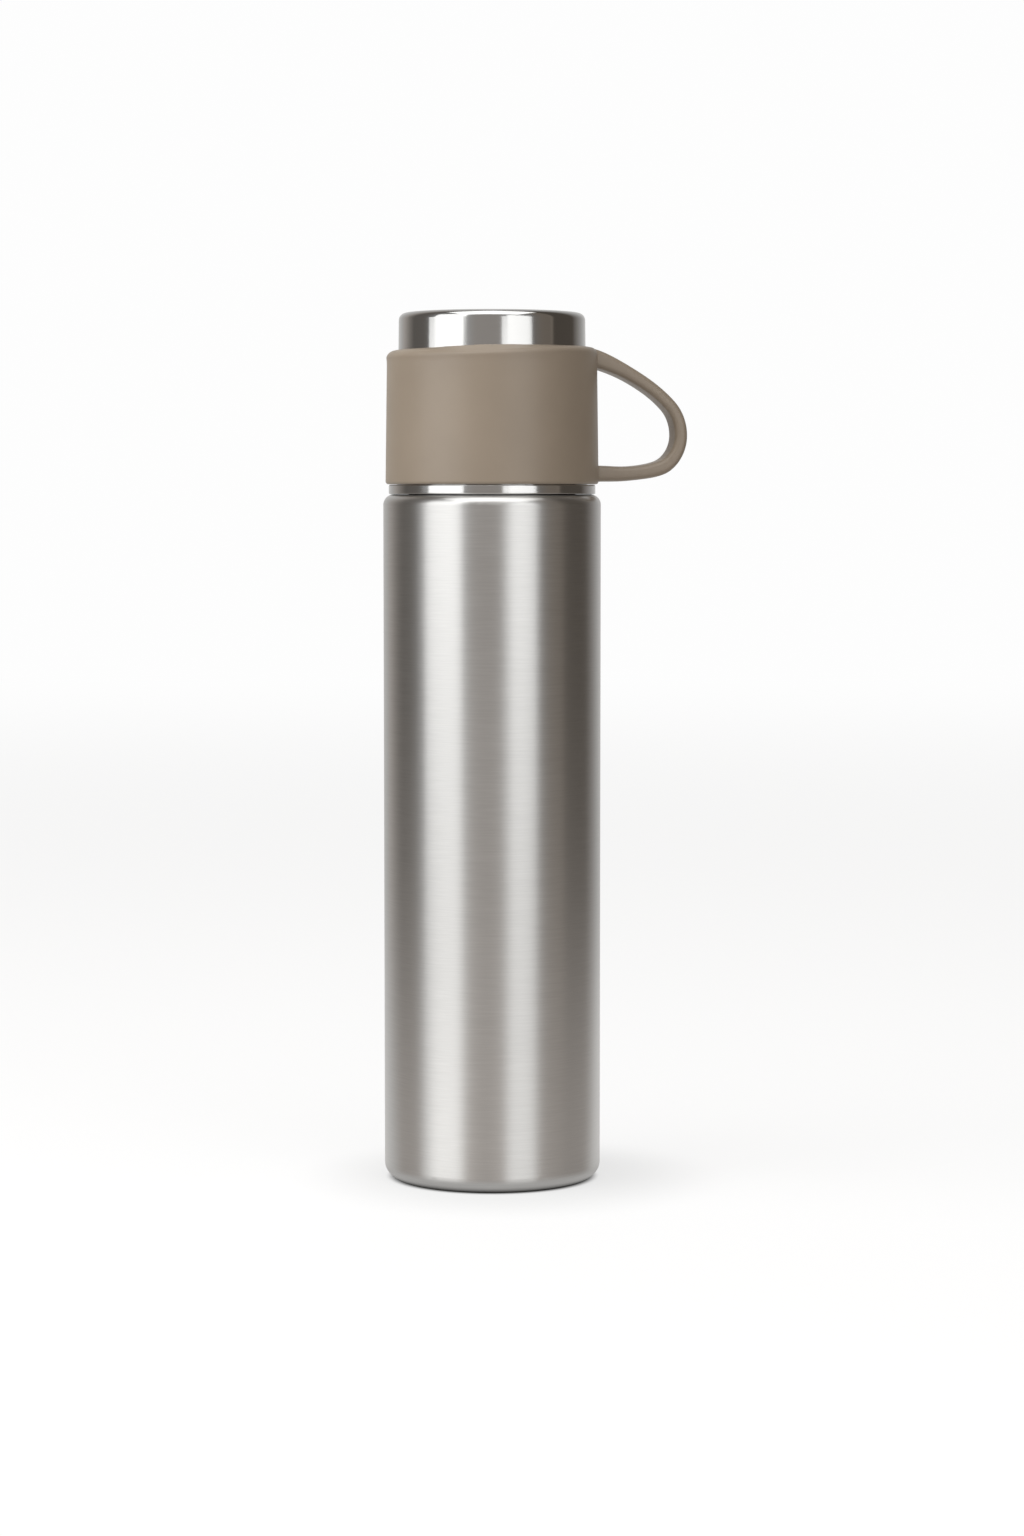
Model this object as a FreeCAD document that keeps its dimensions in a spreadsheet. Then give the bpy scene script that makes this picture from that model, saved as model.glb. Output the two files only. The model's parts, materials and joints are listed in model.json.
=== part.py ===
"""Double-walled steel vacuum flask with a push-button stopper and a handled drinking cup as its lid.

Millimetres, +Z up. The origin is the centre of the base, on the surface that the flask stands on, and
the cup's handle points along +X. Every size that drives the model is a cell of the Dimensions sheet.
"""
import FreeCAD, Part
import math
import os
import Sketcher

DIMENSIONS = {
    # clearances and roundings shared by several parts
    "fit_gap": 0.05,
    "seal_gap": 0.1,
    "cut_margin": 1.0,
    "edge_fine": 0.3,
    "edge_small": 0.4,
    "edge_medium": 0.6,
    "edge_large": 0.8,
    # outer bottle
    "shell_radius": 32.5,
    "shell_wall": 0.5,
    "base_corner": 4.6,
    "base_opening": 27.0,
    "shoulder_height": 205.6,
    "shoulder_corner": 3.1,
    "neck_radius": 24.0,
    "neck_corner": 1.2,
    "mouth_height": 221.0,
    "mouth_rim": 2.0,
    # parts under the vacuum space
    "cap_sheet": 0.5,
    "cap_recess": 2.3,
    "cap_flat_radius": 24.5,
    "cap_slope": 1.5,
    "cap_slope_shift": 0.35,
    "cap_flange_radius": 28.0,
    "vacuum_floor": 4.2,
    "vacuum_skirt": 10.5,
    "vacuum_corner": 2.0,
    "dimple_radius": 3.5,
    "dimple_depth": 0.8,
    "dimple_slope": 1.0,
    "dimple_slope_shift": 0.3,
    "seal_hole": 0.8,
    "bead_depth": 0.65,
    "bead_edge_depth": 0.5,
    "getter_offset": 12.0,
    "getter_radius": 3.5,
    "getter_thickness": 1.8,
    "clip_wall": 0.3,
    "clip_corner": 0.5,
    # inner bottle
    "liner_radius": 29.0,
    "liner_wall": 0.4,
    "liner_floor": 12.0,
    "liner_joint": 17.0,
    "liner_corner": 4.0,
    "liner_shoulder": 196.0,
    "liner_shoulder_shift": 0.2,
    "liner_bend": 5.0,
    "liner_neck_start": 204.4,
    "liner_neck_radius": 23.0,
    "foil_thickness": 0.1,
    "foil_base": 20.0,
    "foil_top": 190.0,
    # screw thread between mouth ring and stopper
    "ring_bottom": 206.4,
    "thread_bore": 21.6,
    "thread_crest": 20.7,
    "thread_lead": 7.0,
    "thread_starts": 2.0,
    "thread_length": 7.5,
    "thread_root_width": 2.0,
    "thread_crest_width": 0.8,
    "thread_base": 208.4,
    "plug_radius": 20.4,
    "plug_crest": 21.35,
    # stopper
    "plug_bottom": 203.5,
    "plug_bore": 17.8,
    "collar_radius": 25.6,
    "collar_bottom": 221.4,
    "collar_top": 241.0,
    "collar_bore": 23.2,
    "floor_bottom": 223.5,
    "floor_top": 226.0,
    "floor_bend": 1.0,
    "throat_bend": 1.5,
    "port_radius": 2.4,
    "port_circle": 12.5,
    "port_count": 6.0,
    "flute_count": 30.0,
    "flute_depth": 0.7,
    "flute_radius": 1.12,
    "flute_start": 230.0,
    "gasket_section": 1.8,
    "gasket_outer": 23.7,
    "gasket_inner": 20.7,
    "grip_base": 224.5,
    "grip_height": 4.5,
    "grip_groove": 24.6,
    "grip_radius": 27.45,
    "grip_bevel_width": 1.2,
    "grip_bevel_height": 1.3,
    "cover_top": 244.5,
    "cover_plate": 2.0,
    "cover_corner": 1.6,
    "skirt_wall": 1.6,
    "skirt_length": 5.0,
    "chimney_bore": 13.8,
    "chimney_wall": 1.6,
    "chimney_bottom": 232.0,
    "spout_width": 13.0,
    "spout_inner": 16.8,
    "spout_outer": 22.4,
    "spout_corner": 2.0,
    "vent_radius": 1.3,
    "seat_bottom": 202.0,
    "seat_opening": 11.0,
    "seat_radius": 19.8,
    "seat_thickness": 1.6,
    "seat_rise": 2.2,
    "seat_sleeve_height": 3.0,
    "seat_sleeve_wall": 2.0,
    # push button and valve
    "button_radius": 13.4,
    "button_top": 246.5,
    "button_bottom": 233.0,
    "button_wall": 1.6,
    "button_ceiling": 244.5,
    "button_corner": 1.0,
    "dish_depth": 0.6,
    "dish_rim": 3.5,
    "dish_bend": 6.0,
    "boss_radius": 5.0,
    "boss_bottom": 236.0,
    "stem_radius": 2.6,
    "stem_bottom": 196.8,
    "stem_top": 240.0,
    "groove_depth": 0.7,
    "guide_bore": 3.0,
    "guide_radius": 4.9,
    "guide_bottom": 221.5,
    "guide_top": 232.0,
    "guide_tower": 5.5,
    "guide_flange": 9.5,
    "guide_flange_height": 1.4,
    "ring_section": 1.0,
    "ring_groove": 1.2,
    "ring_height": 229.0,
    "disc_radius": 14.0,
    "disc_bottom": 198.6,
    "disc_thickness": 1.6,
    "hub_height": 3.0,
    "seal_thickness": 1.4,
    "seal_width": 4.2,
    "seal_setback": 0.4,
    "retainer_thickness": 0.6,
    "retainer_width": 2.2,
    "retainer_opening": 1.8,
    "spring_radius": 7.4,
    "spring_wire": 0.9,
    "spring_turns": 6.0,
    # cup
    "cup_top": 259.4,
    "cup_top_radius": 27.74,
    "cup_mouth_radius": 28.38,
    "cup_wall": 0.5,
    "cup_corner": 2.2,
    "cup_bend": 0.5,
    "recess_depth": 0.7,
    "recess_radius": 22.7,
    "recess_slope": 0.8,
    "recess_slope_shift": 0.3,
    "lip_bottom": 205.65,
    "lip_top": 208.45,
    "lip_radius": 30.86,
    "lip_corner": 0.4,
    "lip_bend": 0.9,
    "lip_opening": 0.35,
    "sleeve_bottom": 208.6,
    "sleeve_low_radius": 31.84,
    "sleeve_top_radius": 31.3,
    "sleeve_crease": 248.3,
    "sleeve_rim": 248.9,
    "sleeve_corner": 1.0,
    "sleeve_rim_corner": 1.6,
    "sleeve_bore_top": 27.93,
    "sleeve_bore_low": 28.46,
    "rise_height": 0.8,
    "rise_angle": 50.0,
    "rise_overlap": 3.0,
    # handle on the sleeve
    "handle_width": 9.6,
    "handle_thickness": 4.4,
    "handle_edge": 1.6,
    "handle_reach": 59.5,
    "handle_root": 29.9,
    "handle_middle": 223.0,
    "handle_top": 246.3,
    "handle_low": 211.6,
    "handle_arm_upper": 52.8,
    "handle_bend_upper": 13.0,
    "handle_bend_lower": 9.6,
    "handle_arm_lower": 40.0,
}

doc = FreeCAD.newDocument("vacuum_flask")
sheet = doc.addObject("Spreadsheet::Sheet", "Dimensions")
for row, (alias, number) in enumerate(DIMENSIONS.items(), start=1):
    sheet.set("A%d" % row, alias)
    sheet.set("B%d" % row, str(number))
    sheet.setAlias("B%d" % row, alias)
doc.recompute()


class Size:
    """A length with its value in millimetres and the sheet expression that gives it."""

    def __init__(self, value, text):
        self.value = value
        self.text = text

    def __add__(self, other):
        other = size(other)
        return Size(self.value + other.value, "(%s + %s)" % (self.text, other.text))

    def __sub__(self, other):
        other = size(other)
        return Size(self.value - other.value, "(%s - %s)" % (self.text, other.text))

    def __mul__(self, factor):
        return Size(self.value * factor, "(%s * %s)" % (self.text, factor))

    def __truediv__(self, divisor):
        return Size(self.value / divisor, "(%s / %s)" % (self.text, divisor))


def size(item):
    """The Size of a sheet alias, a plain number or a Size."""
    if isinstance(item, Size):
        return item
    if isinstance(item, str):
        return Size(getattr(sheet, item), "Dimensions.%s" % item)
    return Size(float(item), str(item))


def new_body(label):
    body = doc.addObject("PartDesign::Body", label)
    body.Label = label
    return body


def new_sketch(body, name, plane="XZ_Plane"):
    sketch = body.newObject("Sketcher::SketchObject", name)
    origin_plane = next(item for item in body.Origin.OriginFeatures if item.Role == plane)
    sketch.AttachmentSupport = [(origin_plane, "")]
    sketch.MapMode = "FlatFace"
    return sketch


def bind(sketch, kind, elements, length):
    """Add a dimension to the sketch and tie it to its sheet expression."""
    length = size(length)
    index = sketch.addConstraint(Sketcher.Constraint(kind, *elements, length.value))
    sketch.setExpression("Constraints[%d]" % index, length.text)


def place_point(sketch, geometry, vertex, x, y):
    """Dimension one point from the sketch origin."""
    for kind, length in (("DistanceX", size(x)), ("DistanceY", size(y))):
        if length.value == 0:
            axis = -2 if kind == "DistanceX" else -1
            sketch.addConstraint(Sketcher.Constraint("PointOnObject", geometry, vertex, axis))
        else:
            bind(sketch, kind, (-1, 1, geometry, vertex), length)


def draw_outline(sketch, corners):
    """A closed outline of straight lines through corners (x, y) or rounded corners (x, y, radius)."""
    count = len(corners)
    points = [FreeCAD.Vector(size(corner[0]).value, size(corner[1]).value, 0) for corner in corners]
    entries = list(points)
    middles = list(points)
    exits = list(points)
    for index, corner in enumerate(corners):
        if len(corner) == 3:
            radius = size(corner[2]).value
            before = (points[index - 1] - points[index]).normalize()
            after = (points[(index + 1) % count] - points[index]).normalize()
            bisector = (before + after).normalize()
            half_angle = before.getAngle(after) / 2
            entries[index] = points[index] + before * (radius / math.tan(half_angle))
            exits[index] = points[index] + after * (radius / math.tan(half_angle))
            middles[index] = points[index] + bisector * (radius / math.sin(half_angle) - radius)
    for index in range(count):
        sketch.addGeometry(Part.LineSegment(exits[index], entries[(index + 1) % count]), False)
    for index, corner in enumerate(corners):
        previous = (index - 1) % count
        if len(corner) == 2:
            sketch.addConstraint(Sketcher.Constraint("Coincident", previous, 2, index, 1))
            place_point(sketch, index, 1, corner[0], corner[1])
            continue
        bend = sketch.addGeometry(Part.Arc(entries[index], middles[index], exits[index]), False)
        arc = sketch.Geometry[bend]
        forward = (arc.StartPoint - entries[index]).Length < (arc.EndPoint - entries[index]).Length
        first, last = (1, 2) if forward else (2, 1)
        sketch.addConstraint(Sketcher.Constraint("Tangent", previous, 2, bend, first))
        sketch.addConstraint(Sketcher.Constraint("Tangent", index, 1, bend, last))
        bind(sketch, "Radius", (bend,), corner[2])
        apex = sketch.addGeometry(Part.Point(points[index]), True)
        sketch.addConstraint(Sketcher.Constraint("PointOnObject", apex, 1, previous))
        sketch.addConstraint(Sketcher.Constraint("PointOnObject", apex, 1, index))
        place_point(sketch, apex, 1, corner[0], corner[1])


def draw_circle(sketch, radius, x=0, y=0):
    circle = Part.Circle(FreeCAD.Vector(size(x).value, size(y).value, 0), FreeCAD.Vector(0, 0, 1),
                         size(radius).value)
    index = sketch.addGeometry(circle, False)
    bind(sketch, "Radius", (index,), radius)
    place_point(sketch, index, 3, x, y)


def round_edges(body, corners):
    """Round the turned edges at corners (radius, height, rounding), one fillet for each rounding."""
    roundings = {size(corner[2]).text: size(corner[2]) for corner in corners if len(corner) == 3}
    for number, (text, rounding) in enumerate(roundings.items(), start=1):
        places = [(size(corner[0]).value, size(corner[1]).value) for corner in corners
                  if len(corner) == 3 and size(corner[2]).text == text]
        base = body.Tip
        names = []
        for index, edge in enumerate(base.Shape.Edges, start=1):
            if not isinstance(edge.Curve, Part.Circle):
                continue
            found = (edge.Curve.Radius, edge.Curve.Center.z)
            if any(math.dist(found, place) < 1e-4 for place in places):
                names.append("Edge%d" % index)
        fillet = body.newObject("PartDesign::Fillet", "%s_rounding_%d" % (body.Label, number))
        fillet.Base = (base, names)
        fillet.setExpression("Radius", text)
        body.Tip = fillet
        doc.recompute()


def turned(label, corners):
    """A body of revolution about +Z from the corners (radius, height) of its half section.

    A corner with a third value is rounded to that radius afterwards.
    """
    body = new_body(label)
    sketch = new_sketch(body, label + "_section")
    draw_outline(sketch, [corner[:2] for corner in corners])
    feature = body.newObject("PartDesign::Revolution", label + "_turned")
    feature.Profile = sketch
    feature.ReferenceAxis = (sketch, ["V_Axis"])
    feature.Angle = 360
    doc.recompute()
    round_edges(body, corners)
    return body


def tube(label, inner, outer, bottom, top):
    return turned(label, [(inner, bottom), (outer, bottom), (outer, top), (inner, top)])


def pattern(body, feature, count, angle=360):
    """Repeat a feature of the body about +Z."""
    repeat = body.newObject("PartDesign::PolarPattern", feature.Label + "_pattern")
    repeat.Originals = [feature]
    repeat.Axis = (next(item for item in body.Origin.OriginFeatures if item.Role == "Z_Axis"), [""])
    repeat.Angle = angle
    repeat.setExpression("Occurrences", size(count).text)
    body.Tip = repeat
    doc.recompute()
    return repeat


def add_thread(body, label, root, crest, base):
    """Helical ridges from the root radius to the crest radius, one for each start of the thread."""
    root, crest, base = size(root), size(crest), size(base)
    root_half = size("thread_root_width") / 2
    crest_half = size("thread_crest_width") / 2
    sketch = new_sketch(body, label + "_section")
    draw_outline(sketch, [(root, base - root_half), (crest, base - crest_half),
                          (crest, base + crest_half), (root, base + root_half)])
    ridge = body.newObject("PartDesign::AdditiveHelix", label)
    ridge.Profile = sketch
    ridge.ReferenceAxis = (sketch, ["V_Axis"])
    ridge.Mode = "pitch-height-angle"
    ridge.setExpression("Pitch", size("thread_lead").text)
    ridge.setExpression("Height", size("thread_length").text)
    ridge.Angle = 0
    doc.recompute()
    pattern(body, ridge, "thread_starts")


def cut_feature(body, label, draw, bottom, depth):
    """Cut a drawn outline out of the body, upward from the given height."""
    before = body.Shape.Volume
    sketch = new_sketch(body, label + "_outline", "XY_Plane")
    sketch.setExpression("AttachmentOffset.Base.z", size(bottom).text)
    draw(sketch)
    cut = body.newObject("PartDesign::Pocket", label)
    cut.Profile = sketch
    cut.Reversed = True
    cut.setExpression("Length", size(depth).text)
    doc.recompute()
    if body.Shape.Volume >= before:
        raise RuntimeError("%s removes nothing" % label)
    return cut


# ---- outer bottle -------------------------------------------------------------------------------

def make_outer_shell():
    outer = size("shell_radius")
    wall = size("shell_wall")
    neck = size("neck_radius")
    top = size("shoulder_height")
    rim = size("mouth_height") - "mouth_rim" - "fit_gap"
    return turned("outer_shell", [
        ("base_opening", 0),
        (outer, 0, "base_corner"),
        (outer, top, "shoulder_corner"),
        (neck, top, "neck_corner"),
        (neck, rim),
        (neck - wall, rim),
        (neck - wall, top - wall, size("neck_corner") + wall),
        (outer - wall, top - wall, size("shoulder_corner") - wall),
        (outer - wall, wall, size("base_corner") - wall),
        ("base_opening", wall),
    ])


def make_base_cap():
    """A pressed disc that closes the base, recessed inside the standing ring."""
    seat = size("shell_wall") + "fit_gap"
    foot = size("cap_flat_radius") + "cap_slope"
    shift = size("cap_slope_shift")
    gauge = size("cap_sheet")
    return turned("base_cap", [
        (0, "cap_recess"),
        ("cap_flat_radius", "cap_recess", "edge_medium"),
        (foot, seat, "edge_fine"),
        ("cap_flange_radius", seat),
        ("cap_flange_radius", seat + gauge),
        (foot + shift, seat + gauge, "edge_medium"),
        (size("cap_flat_radius") + shift, size("cap_recess") + gauge, "edge_medium"),
        (0, size("cap_recess") + gauge),
    ])


def make_vacuum_bottom():
    """The structural bottom, welded inside the shell, with the dimple that the vacuum is sealed through."""
    gauge = size("shell_wall")
    outer = size("shell_radius") - gauge - size("fit_gap") * 2
    floor = size("vacuum_floor")
    dimple = floor + "dimple_depth"
    rim = size("dimple_radius") + "dimple_slope"
    shift = size("dimple_slope_shift")
    return turned("vacuum_bottom", [
        ("seal_hole", dimple),
        ("dimple_radius", dimple, "edge_small"),
        (rim, floor, "edge_small"),
        (outer, floor, "vacuum_corner"),
        (outer, "vacuum_skirt"),
        (outer - gauge, "vacuum_skirt"),
        (outer - gauge, floor + gauge, size("vacuum_corner") - gauge),
        (rim + shift, floor + gauge, "edge_small"),
        (size("dimple_radius") + shift, dimple + gauge, "edge_small"),
        ("seal_hole", dimple + gauge),
    ])


def make_glass_seal():
    """The bead of solder glass that closes the evacuation hole."""
    roof = size("vacuum_floor") + "dimple_depth" - "fit_gap"
    bead = size("dimple_radius") - "dimple_slope"
    plug = size("seal_hole") - "fit_gap"
    return turned("glass_seal", [
        (0, roof - "bead_depth"),
        (bead, roof - "bead_edge_depth", "edge_fine"),
        (bead, roof),
        (plug, roof),
        (plug, roof + "shell_wall"),
        (0, roof + "shell_wall"),
    ])


def make_getter_clip():
    """A small pressed pan, welded off centre, that holds the getter pill."""
    base = size("vacuum_floor") + "shell_wall" + "fit_gap"
    wall = size("clip_wall")
    outer = size("getter_radius") + "fit_gap" + wall
    top = base + wall + "getter_thickness"
    body = turned("getter_clip", [
        (0, base),
        (outer, base, "clip_corner"),
        (outer, top),
        (outer - wall, top),
        (outer - wall, base + wall, size("clip_corner") - wall),
        (0, base + wall),
    ])
    body.setExpression("Placement.Base.x", size("getter_offset").text)
    return body


def make_getter():
    base = size("vacuum_floor") + "shell_wall" + "clip_wall" + size("fit_gap") * 2
    top = base + "getter_thickness"
    body = turned("getter", [
        (0, base),
        ("getter_radius", base, "edge_fine"),
        ("getter_radius", top, "edge_fine"),
        (0, top),
    ])
    body.setExpression("Placement.Base.x", size("getter_offset").text)
    return body


# ---- inner bottle -------------------------------------------------------------------------------

def make_liner_bottom():
    outer = size("liner_radius")
    wall = size("liner_wall")
    floor = size("liner_floor")
    top = size("liner_joint") - "fit_gap"
    return turned("liner_bottom", [
        (0, floor),
        (outer, floor, "liner_corner"),
        (outer, top),
        (outer - wall, top),
        (outer - wall, floor + wall, size("liner_corner") - wall),
        (0, floor + wall),
    ])


def make_inner_liner():
    """The drawn inner tube: straight, then a conical shoulder up to the neck."""
    outer = size("liner_radius")
    wall = size("liner_wall")
    neck = size("liner_neck_radius")
    rim = size("mouth_height") - "mouth_rim" - "fit_gap"
    return turned("inner_liner", [
        (outer, "liner_joint"),
        (outer, "liner_shoulder", "liner_bend"),
        (neck, "liner_neck_start", "liner_bend"),
        (neck, rim),
        (neck - wall, rim),
        (neck - wall, size("liner_neck_start") - "liner_shoulder_shift", "liner_bend"),
        (outer - wall, size("liner_shoulder") - "liner_shoulder_shift", "liner_bend"),
        (outer - wall, "liner_joint"),
    ])


def make_reflective_foil():
    inner = size("liner_radius") + "fit_gap"
    return tube("reflective_foil", inner, inner + "foil_thickness", "foil_base", "foil_top")


def make_mouth_ring():
    """The turned ring that joins the two necks and carries the female thread."""
    skirt = size("liner_neck_radius") - "liner_wall" - "fit_gap"
    rim_base = size("mouth_height") - "mouth_rim"
    body = turned("mouth_ring", [
        ("thread_bore", "ring_bottom"),
        (skirt, "ring_bottom"),
        (skirt, rim_base),
        ("neck_radius", rim_base),
        ("neck_radius", "mouth_height", "edge_large"),
        ("thread_bore", "mouth_height", "edge_medium"),
    ])
    add_thread(body, "female_thread", size("thread_bore") + "fit_gap", "thread_crest", "thread_base")
    return body


# ---- stopper ------------------------------------------------------------------------------------

def make_neck_gasket():
    base = size("mouth_height") + "seal_gap"
    return tube("neck_gasket", "gasket_inner", "gasket_outer", base, size("collar_bottom") + "gasket_section")


def make_stopper_body():
    """The screw plug with its collar, a floor with flow ports, and finger flutes round the collar."""
    groove_top = size("collar_bottom") + "gasket_section" + "seal_gap"
    groove = size("gasket_outer") + "seal_gap"
    collar = size("collar_radius")
    grip_top = size("grip_base") + "grip_height"
    hole = size("guide_radius") + "fit_gap"
    body = turned("stopper_body", [
        ("plug_bore", "plug_bottom"),
        ("plug_radius", "plug_bottom", "edge_medium"),
        ("plug_radius", groove_top),
        (groove, groove_top),
        (groove, "collar_bottom"),
        (collar, "collar_bottom", "edge_medium"),
        (collar, "grip_base"),
        ("grip_groove", "grip_base"),
        ("grip_groove", grip_top),
        (collar, grip_top),
        (collar, "collar_top"),
        ("collar_bore", "collar_top"),
        ("collar_bore", "floor_top", "floor_bend"),
        (hole, "floor_top"),
        (hole, "floor_bottom"),
        ("plug_bore", "floor_bottom", "throat_bend"),
    ])
    thread_base = size("thread_base") + size("thread_lead") / 4
    add_thread(body, "male_thread", size("plug_radius") - "fit_gap", "plug_crest", thread_base)
    port_depth = size("floor_top") - "floor_bottom" + size("cut_margin") * 2
    port = cut_feature(body, "flow_port", lambda sketch: draw_circle(sketch, "port_radius", "port_circle"),
                       size("floor_bottom") - "cut_margin", port_depth)
    pattern(body, port, "port_count")
    flute_centre = collar + "flute_radius" - "flute_depth"
    flute = cut_feature(body, "finger_flute",
                        lambda sketch: draw_circle(sketch, "flute_radius", flute_centre),
                        "flute_start", size("collar_top") - "flute_start" + "cut_margin")
    pattern(body, flute, "flute_count")
    return body


def make_cup_grip_ring():
    """The silicone band round the collar that the cup pushes onto."""
    inner = size("grip_groove") + "fit_gap"
    base = size("grip_base") + size("fit_gap") * 2
    top = size("grip_base") + "grip_height" - size("fit_gap") * 2
    outer = size("grip_radius")
    return turned("cup_grip_ring", [
        (inner, base),
        (outer - "grip_bevel_width", base, "edge_small"),
        (outer, base + "grip_bevel_height", "edge_medium"),
        (outer, top - "grip_bevel_height", "edge_medium"),
        (outer - "grip_bevel_width", top, "edge_small"),
        (inner, top),
    ])


def make_stopper_cover():
    """The top ring, with a chimney round the button, a skirt in the collar and the pouring slot."""
    top = size("cover_top")
    under = top - "cover_plate"
    seat = size("collar_top") + "fit_gap"
    chimney = size("chimney_bore") + "chimney_wall"
    skirt = size("collar_bore") - "fit_gap"
    body = turned("stopper_cover", [
        ("chimney_bore", "chimney_bottom"),
        (chimney, "chimney_bottom"),
        (chimney, under, "edge_large"),
        (skirt - "skirt_wall", under, "edge_large"),
        (skirt - "skirt_wall", seat - "skirt_length"),
        (skirt, seat - "skirt_length", "edge_small"),
        (skirt, seat),
        ("collar_radius", seat),
        ("collar_radius", top, "cover_corner"),
        ("chimney_bore", top, "edge_small"),
    ])

    def draw_spout(sketch):
        half = size("spout_width") / 2
        near = size("spout_inner") * -1
        far = size("spout_outer") * -1
        draw_outline(sketch, [
            (far, half * -1, "spout_corner"),
            (near, half * -1, "spout_corner"),
            (near, half, "spout_corner"),
            (far, half, "spout_corner"),
        ])

    def draw_vent(sketch):
        draw_circle(sketch, "vent_radius", (size("spout_inner") + "spout_outer") / 2)

    depth = size("cover_plate") + size("cut_margin") * 2
    cut_feature(body, "pour_slot", draw_spout, under - "cut_margin", depth)
    cut_feature(body, "air_hole", draw_vent, under - "cut_margin", depth)
    return body


def make_button_guide():
    """The bush, fixed in the stopper's floor, that the valve stem slides in and the spring stands on."""
    flange_base = size("floor_top") + "fit_gap"
    flange_top = flange_base + "guide_flange_height"
    return turned("button_guide", [
        ("guide_bore", "guide_bottom"),
        ("guide_radius", "guide_bottom", "edge_small"),
        ("guide_radius", flange_base),
        ("guide_flange", flange_base),
        ("guide_flange", flange_top, "edge_small"),
        ("guide_tower", flange_top, "edge_small"),
        ("guide_tower", "guide_top", "edge_medium"),
        ("guide_bore", "guide_top", "edge_small"),
    ])


def make_valve_seat():
    """The insert in the plug's mouth that the valve closes against from below."""
    base = size("seat_bottom")
    lip = size("plug_bottom") - "fit_gap"
    sleeve = size("plug_bore") - "fit_gap"
    return turned("valve_seat", [
        ("seat_opening", base, "edge_small"),
        ("seat_radius", base, "edge_small"),
        ("seat_radius", lip),
        (sleeve, lip),
        (sleeve, lip + "seat_sleeve_height", "edge_small"),
        (sleeve - "seat_sleeve_wall", lip + "seat_sleeve_height", "edge_small"),
        (sleeve - "seat_sleeve_wall", base + "seat_rise", "edge_large"),
        ("seat_opening", base + "seat_thickness", "edge_small"),
    ])


def make_button_spring():
    """A round-wire compression spring from the guide's flange to the underside of the button."""
    radius = size("spring_wire") / 2
    base = size("floor_top") + "guide_flange_height" + size("fit_gap") * 2 + radius
    top = size("button_ceiling") - "fit_gap" - radius
    body = new_body("button_spring")
    sketch = new_sketch(body, "wire_section")
    draw_circle(sketch, radius, "spring_radius", base)
    coil = body.newObject("PartDesign::AdditiveHelix", "coil")
    coil.Profile = sketch
    coil.ReferenceAxis = (sketch, ["V_Axis"])
    coil.Mode = "height-turns-angle"
    coil.setExpression("Height", (top - base).text)
    coil.setExpression("Turns", size("spring_turns").text)
    doc.recompute()
    return body


# ---- button and valve ---------------------------------------------------------------------------

def make_push_button():
    outer = size("button_radius")
    inner = outer - "button_wall"
    top = size("button_top")
    dish = top - "dish_depth"
    bore = size("stem_radius") + "fit_gap"
    bore_end = size("stem_top") + "fit_gap"
    return turned("push_button", [
        (0, dish),
        (outer - "dish_rim", dish, "dish_bend"),
        (outer, top, "button_corner"),
        (outer, "button_bottom"),
        (inner, "button_bottom"),
        (inner, "button_ceiling", "edge_large"),
        ("boss_radius", "button_ceiling", "edge_large"),
        ("boss_radius", "boss_bottom", "edge_small"),
        (bore, "boss_bottom"),
        (bore, bore_end),
        (0, bore_end),
    ])


def make_valve_stem():
    """The rod from button to valve, with grooves for its ring seal and its retaining ring."""
    radius = size("stem_radius")
    neck = radius - "groove_depth"
    ring_base = size("ring_height") - size("ring_groove") / 2
    clip_base = size("disc_bottom") - "retainer_thickness" - size("fit_gap") * 3
    clip_top = size("disc_bottom") - "fit_gap"
    return turned("valve_stem", [
        (0, "stem_bottom"),
        (radius, "stem_bottom", "edge_fine"),
        (radius, clip_base),
        (neck, clip_base),
        (neck, clip_top),
        (radius, clip_top),
        (radius, ring_base),
        (neck, ring_base),
        (neck, ring_base + "ring_groove"),
        (radius, ring_base + "ring_groove"),
        (radius, "stem_top", "edge_small"),
        (0, "stem_top"),
    ])


def make_stem_ring():
    """The ring seal that keeps liquid from climbing past the stem."""
    section = size("ring_section") / 2
    body = new_body("stem_seal_ring")
    sketch = new_sketch(body, "ring_circle")
    centre = size("stem_radius") - "groove_depth" + "fit_gap" + section
    draw_circle(sketch, section, centre, "ring_height")
    feature = body.newObject("PartDesign::Revolution", "ring_turned")
    feature.Profile = sketch
    feature.ReferenceAxis = (sketch, ["V_Axis"])
    feature.Angle = 360
    doc.recompute()
    return body


def make_valve_disc():
    base = size("disc_bottom")
    top = base + "disc_thickness"
    bore = size("stem_radius") + "fit_gap"
    return turned("valve_disc", [
        (bore, base),
        ("disc_radius", base, "edge_medium"),
        ("disc_radius", top, "edge_small"),
        ("boss_radius", top, "edge_medium"),
        ("boss_radius", top + "hub_height", "edge_small"),
        (bore, top + "hub_height"),
    ])


def make_valve_seal():
    base = size("disc_bottom") + "disc_thickness" + "fit_gap"
    top = base + "seal_thickness"
    outer = size("disc_radius") - "seal_setback"
    return turned("valve_seal", [
        (outer - "seal_width", base),
        (outer, base, "edge_fine"),
        (outer, top, "edge_medium"),
        (outer - "seal_width", top, "edge_medium"),
    ])


def make_stem_retainer():
    """A snap ring below the valve disc, open on one side."""
    top = size("disc_bottom") - size("fit_gap") * 2
    base = top - "retainer_thickness"
    inner = size("stem_radius") - "groove_depth" + "fit_gap"
    body = tube("stem_retainer", inner, inner + "retainer_width", base, top)

    def draw_opening(sketch):
        half = size("retainer_opening") / 2
        draw_outline(sketch, [(0, half * -1), ("disc_radius", half * -1), ("disc_radius", half), (0, half)])

    depth = size("retainer_thickness") + size("cut_margin") * 2
    cut_feature(body, "ring_opening", draw_opening, base - "cut_margin", depth)
    return body


# ---- cup ----------------------------------------------------------------------------------------

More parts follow.
